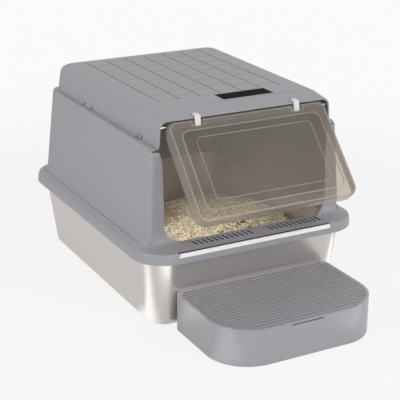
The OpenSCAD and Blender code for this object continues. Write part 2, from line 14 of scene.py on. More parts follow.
import bpy
from mathutils import Euler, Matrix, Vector


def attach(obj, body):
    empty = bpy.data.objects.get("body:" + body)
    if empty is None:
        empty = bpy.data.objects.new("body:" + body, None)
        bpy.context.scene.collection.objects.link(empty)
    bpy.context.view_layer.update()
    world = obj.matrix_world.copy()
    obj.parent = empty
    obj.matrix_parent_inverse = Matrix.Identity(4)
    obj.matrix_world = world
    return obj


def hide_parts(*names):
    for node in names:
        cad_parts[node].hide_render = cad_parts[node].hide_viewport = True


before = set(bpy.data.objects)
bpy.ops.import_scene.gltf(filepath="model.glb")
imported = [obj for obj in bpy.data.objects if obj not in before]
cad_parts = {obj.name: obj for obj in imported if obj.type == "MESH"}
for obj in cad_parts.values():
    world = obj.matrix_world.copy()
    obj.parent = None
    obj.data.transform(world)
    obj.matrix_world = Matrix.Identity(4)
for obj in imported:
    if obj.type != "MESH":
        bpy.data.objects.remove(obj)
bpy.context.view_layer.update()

logging.basicConfig(level=logging.INFO, format="%(name)s: %(message)s")
log = logging.getLogger("litter_box")

Number = Union[int, float]
Colour = tuple[float, float, float]
Pair = tuple[float, float]
Place = tuple[float, float, float]
Outline = tuple[float, float, float, float]
MM = 0.001
NOTCHES = (0.080, 0.042, -0.168, -0.181)
NOTCH_HALF = 1.7 * MM


class Body(str, Enum):
    """CAD bodies that pieces ride on."""

    PAN = "pan"
    SURROUND = "surround_body"
    LID = "lid_body"
    FLAP = "flap_body"
    STEP = "step_body"
    STEP_LID = "step_lid_body"


class Slot(str, Enum):
    """Material slots of the record."""

    STEEL = "steel"
    GREY = "grey_plastic"
    WHITE = "white_plastic"
    PLATE = "black_plate"
    CLEAR = "clear_plastic"
    ROD = "rod_steel"
    LITTER = "litter"


def shaded(colour: Colour, factor: float) -> Colour:
    """Make a linear colour lighter or darker, up to 1.

    Args:
        colour: the linear colour.
        factor: 1 leaves it, 0 makes it black.

    Returns:
        The new colour.
    """
    return tuple(min(1.0, channel * factor) for channel in colour)


def linear(red: Number, green: Number, blue: Number) -> Colour:
    """Turn 8-bit display values into a linear colour.

    Args:
        red: red from 0 to 255.
        green: green from 0 to 255.
        blue: blue from 0 to 255.

    Returns:
        The colour as three linear numbers from 0 to 1.
    """
    def one(value: Number) -> float:
        """Turn one channel."""
        share = value / 255.0
        return share / 12.92 if share <= 0.04045 else ((share + 0.055) / 1.055) ** 2.4

    return one(red), one(green), one(blue)


class Value:
    """A number or a socket in a shader, with arithmetic that adds Math nodes."""

    def __init__(self, tree: "Shader", source: Any) -> None:
        """Wrap a socket or a number of a shader."""
        self.tree = tree
        self.source = source

    def _math(self, operation: str, first: Any, second: Any = None, clamp: bool = False) -> "Value":
        """Add one Math node.

        Args:
            operation: the node's operation.
            first: its first value.
            second: its second value, if it has one.
            clamp: whether the result stays between 0 and 1.

        Returns:
            The node's result.
        """
        inputs = {0: first} if second is None else {0: first, 1: second}
        return self.tree.node("ShaderNodeMath", {"operation": operation, "use_clamp": clamp}, inputs)

    def __add__(self, other: Any) -> "Value":
        """Sum."""
        return self._math("ADD", self, other)

    def __radd__(self, other: Any) -> "Value":
        """Sum, reflected."""
        return self._math("ADD", other, self)

    def __sub__(self, other: Any) -> "Value":
        """Difference."""
        return self._math("SUBTRACT", self, other)

    def __rsub__(self, other: Any) -> "Value":
        """Difference, reflected."""
        return self._math("SUBTRACT", other, self)

    def __mul__(self, other: Any) -> "Value":
        """Product."""
        return self._math("MULTIPLY", self, other)

    def __truediv__(self, other: Any) -> "Value":
        """Quotient."""
        return self._math("DIVIDE", self, other)

    def clamp(self) -> "Value":
        """Keep the value between 0 and 1."""
        return self._math("ADD", self, 0.0, clamp=True)

    def power(self, exponent: Number) -> "Value":
        """Raise the value to a power."""
        return self._math("POWER", self, exponent)

    def above(self, edge: Number) -> "Value":
        """Give 1 where the value is over edge."""
        return self._math("GREATER_THAN", self, edge)

    def below(self, edge: Number) -> "Value":
        """Give 1 where the value is under edge."""
        return self._math("LESS_THAN", self, edge)

    def fraction(self) -> "Value":
        """Give the part after the point."""
        return self._math("FRACT", self)

    def size(self) -> "Value":
        """Drop the sign."""
        return self._math("ABSOLUTE", self)

    def at_least(self, other: Any) -> "Value":
        """Give the larger of two."""
        return self._math("MAXIMUM", self, other)

    def at_most(self, other: Any) -> "Value":
        """Give the smaller of two."""
        return self._math("MINIMUM", self, other)


class Shader:
    """A material's node tree, written as expressions."""

    def __init__(self, name: str) -> None:
        """Start an empty material of that name."""
        self.material = bpy.data.materials.new(name)
        self.material.use_nodes = True
        self.nodes = self.material.node_tree.nodes
        self.links = self.material.node_tree.links
        self.nodes.clear()

    def node(self, kind: str, settings: Optional[dict[str, Any]] = None,
             inputs: Optional[dict[Union[str, int], Any]] = None, output: Union[str, int] = 0) -> Value:
        """Add a node with its settings, then its values and links.

        Args:
            kind: Blender's name of the node type.
            settings: properties set before the inputs.
            inputs: values or sockets by input name or number.
            output: the output that is returned.

        Returns:
            The chosen output, wrapped.
        """
        made = self.nodes.new(kind)
        for key, value in (settings or {}).items():
            setattr(made, key, value)
        for key, value in (inputs or {}).items():
            socket = made.inputs[key]
            if isinstance(value, Value):
                value = value.source
            if isinstance(value, bpy.types.NodeSocket):
                self.links.new(value, socket)
            else:
                socket.default_value = value
        return Value(self, made.outputs[output] if len(made.outputs) else None)

    def place(self) -> Value:
        """Give the object coordinates."""
        return self.node("ShaderNodeTexCoord", output="Object")

    def stretched(self, scale: Sequence[float]) -> Value:
        """Give object coordinates scaled along each axis.

        Args:
            scale: factors along X, Y and Z.

        Returns:
            The scaled coordinates.
        """
        return self.node("ShaderNodeMapping", {}, {"Vector": self.place(), "Scale": tuple(scale)})

    def noise(self, scale: Number, detail: Number = 2.0, vector: Optional[Value] = None) -> Value:
        """Add a noise of that many cells a metre.

        Args:
            scale: cells a metre.
            detail: octaves.
            vector: coordinates, or the object's own.

        Returns:
            The noise, from 0 to 1 around 0.5.
        """
        return self.node("ShaderNodeTexNoise", {"noise_dimensions": "3D"}, {
            "Vector": vector or self.place(), "Scale": float(scale), "Detail": float(detail)})

    def axes(self) -> tuple[Value, Value, Value]:
        """Give the object coordinates one by one."""
        split = self.nodes.new("ShaderNodeSeparateXYZ")
        self.links.new(self.place().source, split.inputs[0])
        x, y, z = (Value(self, output) for output in split.outputs)
        return x, y, z

    @staticmethod
    def rounded_box(across: Value, along: Value, half: Pair, radius: float) -> Value:
        """Measure the distance to a rounded rectangle's edge, below 0 inside it.

        Args:
            across: distance from its middle along its first side.
            along: distance from its middle along its second side.
            half: half of each side.
            radius: corner radius.

        Returns:
            The distance in metres.
        """
        first = across.size() - (half[0] - radius)
        second = along.size() - (half[1] - radius)
        out_a, out_b = first.at_least(0.0), second.at_least(0.0)
        corner = (out_a * out_a + out_b * out_b).power(0.5)
        return corner + first.at_least(second).at_most(0.0) - radius

    def mix(self, factor: Value, first: Any, second: Any) -> Value:
        """Mix two colours.

        Args:
            factor: share of the second.
            first: colour, or a value that carries one.
            second: colour, or a value that carries one.

        Returns:
            The mixed colour.
        """
        made = self.nodes.new("ShaderNodeMix")
        made.data_type = "RGBA"
        for index, value in ((0, factor), (6, first), (7, second)):
            if isinstance(value, Value):
                self.links.new(value.source, made.inputs[index])
            else:
                made.inputs[index].default_value = (*value, 1.0)
        return Value(self, made.outputs[2])

    def bump(self, height: Value, strength: Number, distance: Number) -> Value:
        """Turn a height into a normal.

        Args:
            height: the height, from 0 to 1.
            strength: how much of it shows.
            distance: its real depth in metres.

        Returns:
            The normal.
        """
        return self.node("ShaderNodeBump", {}, {"Height": height, "Strength": float(strength),
                                                "Distance": float(distance)})

    def surface(self, shader: Value) -> bpy.types.Material:
        """Make shader the material's surface and give the material."""
        self.node("ShaderNodeOutputMaterial", {}, {"Surface": shader})
        return self.material


class Finish(ABC):
    """Look of one finish, from which a material is made."""

    @abstractmethod
    def make(self) -> bpy.types.Material:
        """Build the material.

        Returns:
            The new material.
        """


def within(value: Value, middle: float, half: float) -> Value:
    """Give 1 where a value is less than half away from middle.

    Args:
        value: the value.
        middle: middle of the band.
        half: half of its width.

    Returns:
        The mask.
    """
    return (value - middle).size().below(half)


def notch_mask(along: Value) -> Value:
    """Give 1 at the notches of the seam.

    Args:
        along: distance along the seam.

    Returns:
        The mask.
    """
    mask = within(along, NOTCHES[0], NOTCH_HALF)
    for place in NOTCHES[1:]:
        mask = mask + within(along, place, NOTCH_HALF)
    return mask


@dataclass(frozen=True)
class GreyMoulding(Finish):
    """Fine-grained matt grey plastic."""

    name: str = "grey_moulding"
    colour: Colour = linear(157, 156, 161)
    # dark colour that marks() mixes in: painted shade in the grooves, slots, gaps and notches of the subclasses
    shade: Colour = linear(24, 24, 26)
    tone_spread: float = 0.04
    roughness: float = 0.44
    cloud_roughness: float = 0.10
    speck_roughness: float = 0.06
    grain: float = 900.0
    grain_strength: float = 0.35
    grain_depth: float = 0.06 * MM
    specular: float = 0.45
    coat: float = 0.0
    coat_roughness: float = 0.2

    def marks(self, sh: Shader) -> Value:
        """Give the share of shade, which the plain moulding has almost none of.

        Args:
            sh: the material's shader.

        Returns:
            The share, from 0 to 1.
        """
        return sh.noise(3, 2) * 0.02

    def make(self) -> bpy.types.Material:
        """Build the material from tone clouds, a fine grain and the marks, which in the lid, surround and tread
        mouldings are painted shade.
        """
        sh = Shader(self.name)
        cloud = sh.noise(14, 3)
        speck = sh.noise(self.grain, 2)
        tone = sh.mix(cloud, shaded(self.colour, 1 - self.tone_spread), shaded(self.colour, 1 + self.tone_spread))
        # painted shade: the marks' share mixes the tone towards the dark shade colour
        tone = sh.mix(self.marks(sh), tone, self.shade)
        rough = self.roughness + (cloud - 0.5) * self.cloud_roughness + (speck - 0.5) * self.speck_roughness
        return sh.surface(sh.node("ShaderNodeBsdfPrincipled", {}, {
            "Base Color": tone, "Roughness": rough, "Normal": sh.bump(speck, self.grain_strength, self.grain_depth),
            "Specular IOR Level": self.specular, "Coat Weight": self.coat, "Coat Roughness": self.coat_roughness}))


@dataclass(frozen=True)
class LidMoulding(GreyMoulding):
    """Grey plastic with shade in the lid's grooves and at its seam's notches."""

    name: str = "lid_moulding"
    first: float = -0.1308
    pitch: float = 0.0436
    ends: Pair = (-0.147, 0.198)
    half_width: float = 0.1322
    groove_half: float = 0.85 * MM
    front: float = -0.1992
    front_half: float = 0.8 * MM
    front_share: float = 0.5
    plank_share: float = 0.25
    plank_wave: float = 0.75
    top_z: float = 0.3990
    seam_z: float = 0.3500

    def marks(self, sh: Shader) -> Value:
        """Shade the planks' long grooves, the front groove and the notches."""
        x, y, z = sh.axes()
        wave = sh.noise(55, 2)
        nearest = ((x - self.first) / self.pitch + 0.5).fraction() - 0.5
        low, high = self.ends
        plank = (nearest * self.pitch).size().below(self.groove_half) * within(y, (low + high) / 2, (high - low) / 2)
        front = within(y, self.front, self.front_half) * self.front_share
        top = z.above(self.top_z) * x.size().below(self.half_width)
        seam = z.below(self.seam_z) * notch_mask(y)
        return ((plank * (self.plank_share + wave * self.plank_wave) + front) * top + seam).clamp()


@dataclass(frozen=True)
class SurroundMoulding(GreyMoulding):
    """Grey plastic with shade in the sill's slots, over the strip and at the seam's notches."""

    name: str = "surround_moulding"
    slots_x: Pair = (0.010, 0.150)
    slots_y: Pair = (-0.2685, 0.0125)
    slots_top: float = 0.16395
    sill_back: float = -0.2608
    sill_slope: float = 0.0464
    gap_x: Pair = (-0.006, 0.1615)
    gap_z: Pair = (0.1613, 0.0009)
    front_y: float = -0.295
    seam_z: float = 0.3425
    seam_x: float = 0.1925

    def marks(self, sh: Shader) -> Value:
        """Shade the inside of the slots, the gap over the strip and the notches."""
        x, y, z = sh.axes()
        under_sill = (z - (y - self.sill_back) * self.sill_slope).below(self.slots_top)
        slots = within(x, *self.slots_x) * within(y, *self.slots_y) * under_sill
        gap = within(x, *self.gap_x) * within(z, *self.gap_z) * y.below(self.front_y)
        seam = z.above(self.seam_z) * notch_mask(y) * x.size().below(self.seam_x)
        return (slots + gap + seam).clamp()


@dataclass(frozen=True)
class TreadMoulding(GreyMoulding):
    """Grey plastic with shade between the step's ribs."""

    name: str = "tread_moulding"
    first: float = -0.4563
    pitch: float = 0.0094
    rib: float = 0.0053
    floor_z: Pair = (0.0706, 0.0716)
    share: float = 0.12
    # noise-varied part of the painted shade between the ribs
    patchy_shade: float = 0.2

    def marks(self, sh: Shader) -> Value:
        """Shade the floor between the ribs."""
        _, y, z = sh.axes()
        place = ((y - self.first) / self.pitch).fraction()
        between = place.above(self.rib / self.pitch) * z.below(self.floor_z[1]) * z.above(self.floor_z[0])
        # painted shade on the floor between the ribs, patchy by a noise
        return between * (self.share + sh.noise(40, 2) * self.patchy_shade)


@dataclass(frozen=True)
class PressedSteel(Finish):
    """Satin stainless steel with faint vertical drawing marks."""

    name: str = "pressed_steel"
    colour: Colour = linear(214, 208, 205)
    tone_spread: float = 0.03
    metallic: float = 0.78
    roughness: float = 0.30
    mark_scale: Place = (260.0, 260.0, 3.0)
    mark_strength: float = 0.15
    mark_depth: float = 0.1 * MM

    def make(self) -> bpy.types.Material:
        """Build the material from drawing marks and soft clouds."""
        sh = Shader(self.name)
        streaks = sh.noise(1.0, 3, sh.stretched(self.mark_scale))
        cloud = sh.noise(9, 2)
        tone = sh.mix(streaks, shaded(self.colour, 1 - self.tone_spread), shaded(self.colour, 1 + self.tone_spread))
        rough = self.roughness + (streaks - 0.5) * 0.10 + (cloud - 0.5) * 0.08
        return sh.surface(sh.node("ShaderNodeBsdfPrincipled", {}, {
            "Base Color": tone, "Metallic": self.metallic, "Roughness": rough,
            "Normal": sh.bump(streaks, self.mark_strength, self.mark_depth)}))


@dataclass(frozen=True)
class WhiteClip(Finish):
    """Smooth white plastic of the straps and the strip."""

    name: str = "white_clip"
    colour: Colour = linear(224, 222, 219)
    roughness: float = 0.30
    coat: float = 0.15

    def make(self) -> bpy.types.Material:
        """Build the material from soft clouds."""
        sh = Shader(self.name)
        cloud = sh.noise(60, 2)
        tone = sh.mix(cloud, shaded(self.colour, 0.96), self.colour)
        return sh.surface(sh.node("ShaderNodeBsdfPrincipled", {}, {
            "Base Color": tone, "Roughness": self.roughness + (cloud - 0.5) * 0.08,
            "Coat Weight": self.coat}))


@dataclass(frozen=True)
class DarkPlate(Finish):
    """Dark satin film of the bare plate."""

    name: str = "dark_plate"
    colour: Colour = linear(44, 44, 46)
    tone_spread: float = 0.2
    roughness: float = 0.7
    specular: float = 0.0
    grain_strength: float = 0.2
    grain_depth: float = 0.04 * MM

    def make(self) -> bpy.types.Material:
        """Build the material from a fine grain."""
        sh = Shader(self.name)
        speck = sh.noise(1400, 2)
        tone = sh.mix(speck, shaded(self.colour, 1 - self.tone_spread), shaded(self.colour, 1 + self.tone_spread))
        return sh.surface(sh.node("ShaderNodeBsdfPrincipled", {}, {
            "Base Color": tone, "Roughness": self.roughness + (speck - 0.5) * 0.1,
            "Specular IOR Level": self.specular,
            "Normal": sh.bump(speck, self.grain_strength, self.grain_depth)}))


@dataclass(frozen=True)
class SmokedSheet(Finish):
    """Clear, slightly smoky sheet of the flap, with painted highlights along its pressed edges."""

    name: str = "smoked_sheet"
    tint: Colour = (0.80, 0.75, 0.705)
    haze: Colour = linear(206, 203, 196)
    haze_share: float = 0.12
    smear_share: float = 0.05
    border_share: float = 0.05
    # share of haze for the painted highlights along the pressed edges
    edge_highlight_share: float = 0.42
    edge_share: float = 0.3
    edge_blend: float = 0.2
    roughness: float = 0.22
    turn: float = 42.2
    hinge: Pair = (-0.240, 0.380)
    panel: Outline = (0.1435, -0.172, -0.018, 0.015)
    inner: Outline = (0.1193, -0.1553, -0.0337, 0.010)
    rim: Outline = (0.1604, -0.1877, -0.0003, 0.014)
    pocket: Outline = (0.014, -0.009, 0.017, 0.004)
    pocket_x: float = 0.1035

    @staticmethod
    def line(distance: Value, width: float) -> Value:
        """Give 1 on an edge, fading to 0 at that width beside it.

        Args:
            distance: distance to the edge.
            width: where the line ends.

        Returns:
            The line's strength.
        """
        return 1.0 - (distance.size() / width).at_most(1.0)

    @staticmethod
    def distance(sh: Shader, across: Value, up: Value, outline: Outline) -> Value:
        """Measure the distance to an outline on the sheet, below 0 inside it.

        Args:
            sh: the material's shader.
            across: distance across the sheet.
            up: height on the sheet, from the hinge.
            outline: half width, lower end, upper end and corner radius.

        Returns:
            The distance in metres.
        """
        half, low, high, radius = outline
        return sh.rounded_box(across, up - (low + high) / 2, (half, (high - low) / 2), radius)

    def make(self) -> bpy.types.Material:
        """Build the material: a tinted clear sheet with a haze that is thicker on its border, and painted highlights
        as extra haze along its pressed edges.
        """
        sh = Shader(self.name)
        cloud = sh.noise(30, 2)
        smear = sh.noise(6, 3, sh.stretched((1.0, 2.0, 0.7)))
        x, y, z = sh.axes()
        lean = math.radians(self.turn)
        up = (y - self.hinge[0]) * math.sin(lean) + (z - self.hinge[1]) * math.cos(lean)
        panel, inner, rim = (self.distance(sh, x, up, outline) for outline in (self.panel, self.inner, self.rim))
        pocket = self.distance(sh, x.size() - self.pocket_x, up, self.pocket)
        # painted highlights: extra haze along the edges of the panel, the inner groove, the rim and the pockets
        edge_highlights = self.line(panel, 1.4 * MM) + self.line(inner, 1.2 * MM) * (0.6 + smear * 0.6)
        edge_highlights = edge_highlights + self.line(rim, 1.6 * MM) * 0.7 + self.line(pocket, 1.2 * MM) * 0.5
        share = self.haze_share + panel.above(0.0) * self.border_share + edge_highlights * self.edge_highlight_share
        body = sh.node("ShaderNodeBsdfPrincipled", {}, {
            "Base Color": sh.mix(cloud, shaded(self.haze, 0.94), self.haze),
            "Roughness": self.roughness + (cloud - 0.5) * 0.06})
        through = sh.node("ShaderNodeBsdfTransparent", {}, {"Color": (*self.tint, 1.0)})
        edge = sh.node("ShaderNodeLayerWeight", {}, {"Blend": self.edge_blend}, output="Fresnel")
        share = (share + (smear - 0.5) * self.smear_share + edge * self.edge_share).clamp()
        return sh.surface(sh.node("ShaderNodeMixShader", {}, {0: share, 1: through, 2: body}))


@dataclass(frozen=True)
class DrawnRod(Finish):
    """Bright drawn wire of the hinge rod."""

    name: str = "drawn_rod"
    colour: Colour = linear(205, 203, 200)
    roughness: float = 0.25

    def make(self) -> bpy.types.Material:
        """Build the material from marks along the rod."""
        sh = Shader(self.name)
        marks = sh.noise(1.0, 2, sh.stretched((20.0, 1500.0, 1500.0)))
        return sh.surface(sh.node("ShaderNodeBsdfPrincipled", {}, {
            "Base Color": sh.mix(marks, shaded(self.colour, 0.93), self.colour),
            "Metallic": 1.0, "Roughness": self.roughness + (marks - 0.5) * 0.1}))


@dataclass(frozen=True)
class LitterPellet(Finish):
    """Pressed wood pellets, each a little lighter or darker."""

    name: str = "litter_pellet"
    dark: Colour = linear(122, 104, 72)
    light: Colour = linear(250, 238, 210)
    tone_share: float = 0.9
    speck_share: float = 0.4
    roughness: float = 0.85
    specular: float = 0.2

    def make(self) -> bpy.types.Material:
        """Build the material from each pellet's own tone and fine specks."""
        sh = Shader(self.name)
        tone = sh.node("ShaderNodeAttribute", {"attribute_name": "tone"}, output="Fac")
        speck = sh.noise(700, 3)
        share = (tone * self.tone_share + (speck - 0.5) * self.speck_share).clamp()
        return sh.surface(sh.node("ShaderNodeBsdfPrincipled", {}, {
            "Base Color": sh.mix(share, self.dark, self.light),
            "Roughness": self.roughness + (speck - 0.5) * 0.2,
            "Specular IOR Level": self.specular, "Normal": sh.bump(speck, 0.5, 0.3 * MM)}))


@dataclass
class Finishes:
    """One material of each finish, shared by the pieces."""

    walls: bpy.types.Material = field(default_factory=lambda: SurroundMoulding().make())
    lid: bpy.types.Material = field(default_factory=lambda: LidMoulding().make())
    step: bpy.types.Material = field(default_factory=lambda: GreyMoulding("step_moulding", coat=0.55).make())
    tread: bpy.types.Material = field(default_factory=lambda: TreadMoulding().make())
    steel: bpy.types.Material = field(default_factory=lambda: PressedSteel().make())
    white: bpy.types.Material = field(default_factory=lambda: WhiteClip().make())
    strip: bpy.types.Material = field(default_factory=lambda: WhiteClip("white_strip", linear(253, 253, 253)).make())
    plate: bpy.types.Material = field(default_factory=lambda: DarkPlate().make())
    clear: bpy.types.Material = field(default_factory=lambda: SmokedSheet().make())
    rod: bpy.types.Material = field(default_factory=lambda: DrawnRod().make())
    litter: bpy.types.Material = field(default_factory=lambda: LitterPellet().make())


def pick(obj: bpy.types.Object) -> None:
    """Select only this object, and make it active."""
    if bpy.context.object and bpy.context.object.mode != "OBJECT":
        bpy.ops.object.mode_set(mode="OBJECT")
    bpy.ops.object.select_all(action="DESELECT")
    obj.select_set(True)
    bpy.context.view_layer.objects.active = obj


def clothe(obj: bpy.types.Object, material: bpy.types.Material) -> None:
    """Give an object one material."""
    obj.data.materials.clear()
    obj.data.materials.append(material)


def modify(obj: bpy.types.Object, kind: str, **settings: Any) -> None:
    """Add a modifier and apply it.

    Args:
        obj: the object.
        kind: Blender's modifier type.
        **settings: the modifier's properties.
    """
    pick(obj)
    modifier = obj.modifiers.new(kind.lower(), kind)
    for key, value in settings.items():
        setattr(modifier, key, value)
    bpy.ops.object.modifier_apply(modifier=modifier.name)


def settle(obj: bpy.types.Object) -> None:
    """Put an object's place, turn and scale into its mesh."""
    pick(obj)
    bpy.ops.object.transform_apply(location=True, rotation=True, scale=True)


@dataclass
class Moulding:
    """A rigid piece made from a merged copy of its solid, with softened edges."""

    node: str
    body: Body
    slot: Slot
    edge: float = 0.0
    smooth_angle: float = 38.0
    weld: float = 0.01 * MM

    def build(self, material: bpy.types.Material) -> bpy.types.Object:
        """Copy the solid, merge its doubled vertices, soften its edges and dress it.

        Args:
            material: its finish.

        Returns:
            The new piece, which stands for its node.
        """
        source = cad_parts[self.node]
        piece = bpy.data.objects.new(f"{self.node}_dressed", source.data.copy())
        bpy.context.scene.collection.objects.link(piece)
        pick(piece)
        bpy.ops.object.mode_set(mode="EDIT")
        bpy.ops.mesh.select_all(action="SELECT")
        bpy.ops.mesh.remove_doubles(threshold=self.weld)
        bpy.ops.object.mode_set(mode="OBJECT")
        if piece.data.has_custom_normals:
            bpy.ops.mesh.customdata_custom_splitnormals_clear()
        if self.edge > 0:
            modify(piece, "BEVEL", width=self.edge, segments=2, limit_method="ANGLE",
                   angle_limit=math.radians(self.smooth_angle), harden_normals=False)
        pick(piece)
        bpy.ops.object.shade_smooth_by_angle(angle=math.radians(self.smooth_angle))
        modify(piece, "WEIGHTED_NORMAL", keep_sharp=True)
        clothe(piece, material)
        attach(piece, self.body.value)
        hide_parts(self.node)
        log.info("%s: %d faces", piece.name, len(piece.data.polygons))
        return piece


class SubAssembly(ABC):
    """Some pieces that belong together."""

    @abstractmethod
    def build(self, finishes: Finishes) -> None:
        """Build and dress the pieces.

        Args:
            finishes: the shared materials.
        """


class Pan(SubAssembly):
    """The steel pan."""

    def build(self, finishes: Finishes) -> None:
        """Build and dress the pan."""
        Moulding("steel_pan", Body.PAN, Slot.STEEL, smooth_angle=50).build(finishes.steel)


@dataclass
class Litter(SubAssembly):
    """Pellets on the litter's surface."""

    count: int = 20000
    pieces: int = 5
    seed: int = 7
    radius: float = 1.5 * MM
    half_length: Pair = (1.7 * MM, 3.0 * MM)
    lift: Pair = (-0.6 * MM, 1.9 * MM)
    tones: Pair = (0.35, 1.0)
    # darker than any pellet: painted shade in the gaps between the pellets
    shaded_bed_tone: float = 0.2
    reach: Pair = (0.215, 0.28)
    margin: float = 6 * MM
    corner: float = 45 * MM
    longer: float = 60 * MM

    @staticmethod
    def surface_height(x: float, y: float) -> float:
        """Give the height of the litter's solid, a slope with a mound at the right.

        Args:
            x: place along X in metres.
            y: place along Y in metres.

        Returns:
            The height in metres.
        """
        across, along = x / MM, y / MM
        mound = math.exp(-((across - 200) / 120) ** 2 - (along / 190) ** 2)
        return MM * (46 - 0.05 * along + 44 * mound)

    def pellet(self) -> bpy.types.Mesh:
        """Model one pellet with broken, rounded ends.

        Returns:
            The pellet's mesh, from -1 to 1 along X.
        """
        bpy.ops.object.select_all(action="DESELECT")
        bpy.ops.mesh.primitive_cylinder_add(vertices=5, radius=1.0, depth=2.0, rotation=(0, math.pi / 2, 0))
        made = bpy.context.object
        settle(made)
        bpy.ops.object.mode_set(mode="EDIT")
        bpy.ops.mesh.select_all(action="DESELECT")
        bpy.ops.object.mode_set(mode="OBJECT")
        for face in made.data.polygons:
            face.select = abs(face.normal.x) > 0.9
        bpy.ops.object.mode_set(mode="EDIT")
        bpy.ops.mesh.select_mode(type="FACE")
        bpy.ops.mesh.inset(thickness=0.35, depth=0.12)
        bpy.ops.object.mode_set(mode="OBJECT")
        mesh = made.data.copy()
        bpy.data.objects.remove(made)
        return mesh

    def inside(self, x: float, y: float) -> bool:
        """Tell whether a place is inside the pan's leaning wall, with the margin kept.

        Args:
            x: place along X in metres.
            y: place along Y in metres.

        Returns:
            Whether a pellet may lie there.
        """
        foot, foot_height, draft, sheet = 199.0, 14.0, 0.1388, 1.2
        width = (foot + (self.surface_height(x, y) / MM - foot_height) * draft - sheet) * MM - self.margin
        length = width + self.longer
        over_x, over_y = abs(x) - (width - self.corner), abs(y) - (length - self.corner)
        if over_x > 0 and over_y > 0:
            return math.hypot(over_x, over_y) < self.corner
        return abs(x) < width and abs(y) < length

    def scatter(self, seed: bpy.types.Mesh, part: int) -> bpy.types.Mesh:
        """Copy the pellet over the surface, each copy with its own place, turn, size and tone.

        Args:
            seed: one pellet.
            part: number of this share of the pellets, which lies in its own band along Y.

        Returns:
            This share's pellets in one mesh.
        """
        dice = random.Random(self.seed + part)
        wide, deep = self.reach
        band = 2 * deep / self.pieces
        near = -deep + part * band
        corners = [v.co.copy() for v in seed.vertices]
        sides = [tuple(f.vertices) for f in seed.polygons]
        points: list[Vector] = []
        faces: list[tuple[int, ...]] = []
        tones: list[float] = []
        placed = 0
        while placed < self.count // self.pieces:
            x, y = dice.uniform(-wide, wide), dice.uniform(near, near + band)
            half = dice.uniform(*self.half_length)
            if not self.inside(x, y):
                continue
            place = Vector((x, y, self.surface_height(x, y) + dice.uniform(*self.lift)))
            turn = Euler((dice.uniform(0, 3), dice.gauss(0, 0.22), dice.uniform(0, math.tau))).to_matrix()
            tone = self.tones[0] + (self.tones[1] - self.tones[0]) * dice.random()
            start = len(points)
            points.extend(place + turn @ Vector((c.x * half, c.y * self.radius, c.z * self.radius)) for c in corners)
            faces.extend(tuple(start + v for v in side) for side in sides)
            tones.extend([tone] * len(sides))
            placed += 1
        mesh = bpy.data.meshes.new(f"litter_pellets_{part}")
        mesh.from_pydata(points, [], faces)
        mesh.attributes.new("tone", "FLOAT", "FACE").data.foreach_set("value", tones)
        return mesh

    def build(self, finishes: Finishes) -> None:
        """Scatter copies of the pellet over the litter's solid."""
        base = Moulding("litter_bed", Body.PAN, Slot.LITTER, smooth_angle=60).build(finishes.litter)
        # the litter's solid between the pellets takes the darkest tone: painted shade
        tones = [self.shaded_bed_tone] * len(base.data.polygons)
        base.data.attributes.new("tone", "FLOAT", "FACE").data.foreach_set("value", tones)
        seed = self.pellet()
        for part in range(self.pieces):
            mesh = self.scatter(seed, part)
            piece = bpy.data.objects.new(mesh.name, mesh)
            bpy.context.scene.collection.objects.link(piece)
            clothe(piece, finishes.litter)
            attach(piece, Body.PAN.value)
            log.info("%s: %d faces", piece.name, len(mesh.polygons))


class Surround(SubAssembly):
    """The walls and skirted rim, with the strip below the sill."""

    def build(self, finishes: Finishes) -> None:
        """Build and dress the surround."""
        Moulding("surround", Body.SURROUND, Slot.GREY, smooth_angle=42).build(finishes.walls)
        Moulding("front_strip", Body.SURROUND, Slot.WHITE, edge=0.6 * MM, smooth_angle=30).build(finishes.strip)


class Lid(SubAssembly):
    """The lid with its plate and straps."""

    def build(self, finishes: Finishes) -> None:
        """Build and dress the lid."""
        Moulding("lid", Body.LID, Slot.GREY, smooth_angle=38).build(finishes.lid)
        Moulding("bare_plate", Body.LID, Slot.PLATE, edge=0.5 * MM, smooth_angle=30).build(finishes.plate)
        for side in ("left", "right"):
            Moulding(f"strap_{side}", Body.LID, Slot.WHITE, edge=0.5 * MM, smooth_angle=30).build(finishes.white)


class Flap(SubAssembly):
    """The flap and its rod."""

    def build(self, finishes: Finishes) -> None:
        """Build and dress the flap."""
        Moulding("flap", Body.FLAP, Slot.CLEAR, edge=0.4 * MM, smooth_angle=40).build(finishes.clear)
        Moulding("hinge_rod", Body.FLAP, Slot.ROD, edge=0.5 * MM, smooth_angle=30).build(finishes.rod)


class Step(SubAssembly):
    """The step box and its ribbed lid."""

    def build(self, finishes: Finishes) -> None:
        """Build and dress the step."""
        Moulding("step_base", Body.STEP, Slot.GREY, smooth_angle=30).build(finishes.step)
        Moulding("step_lid", Body.STEP_LID, Slot.GREY, smooth_angle=30).build(finishes.tread)


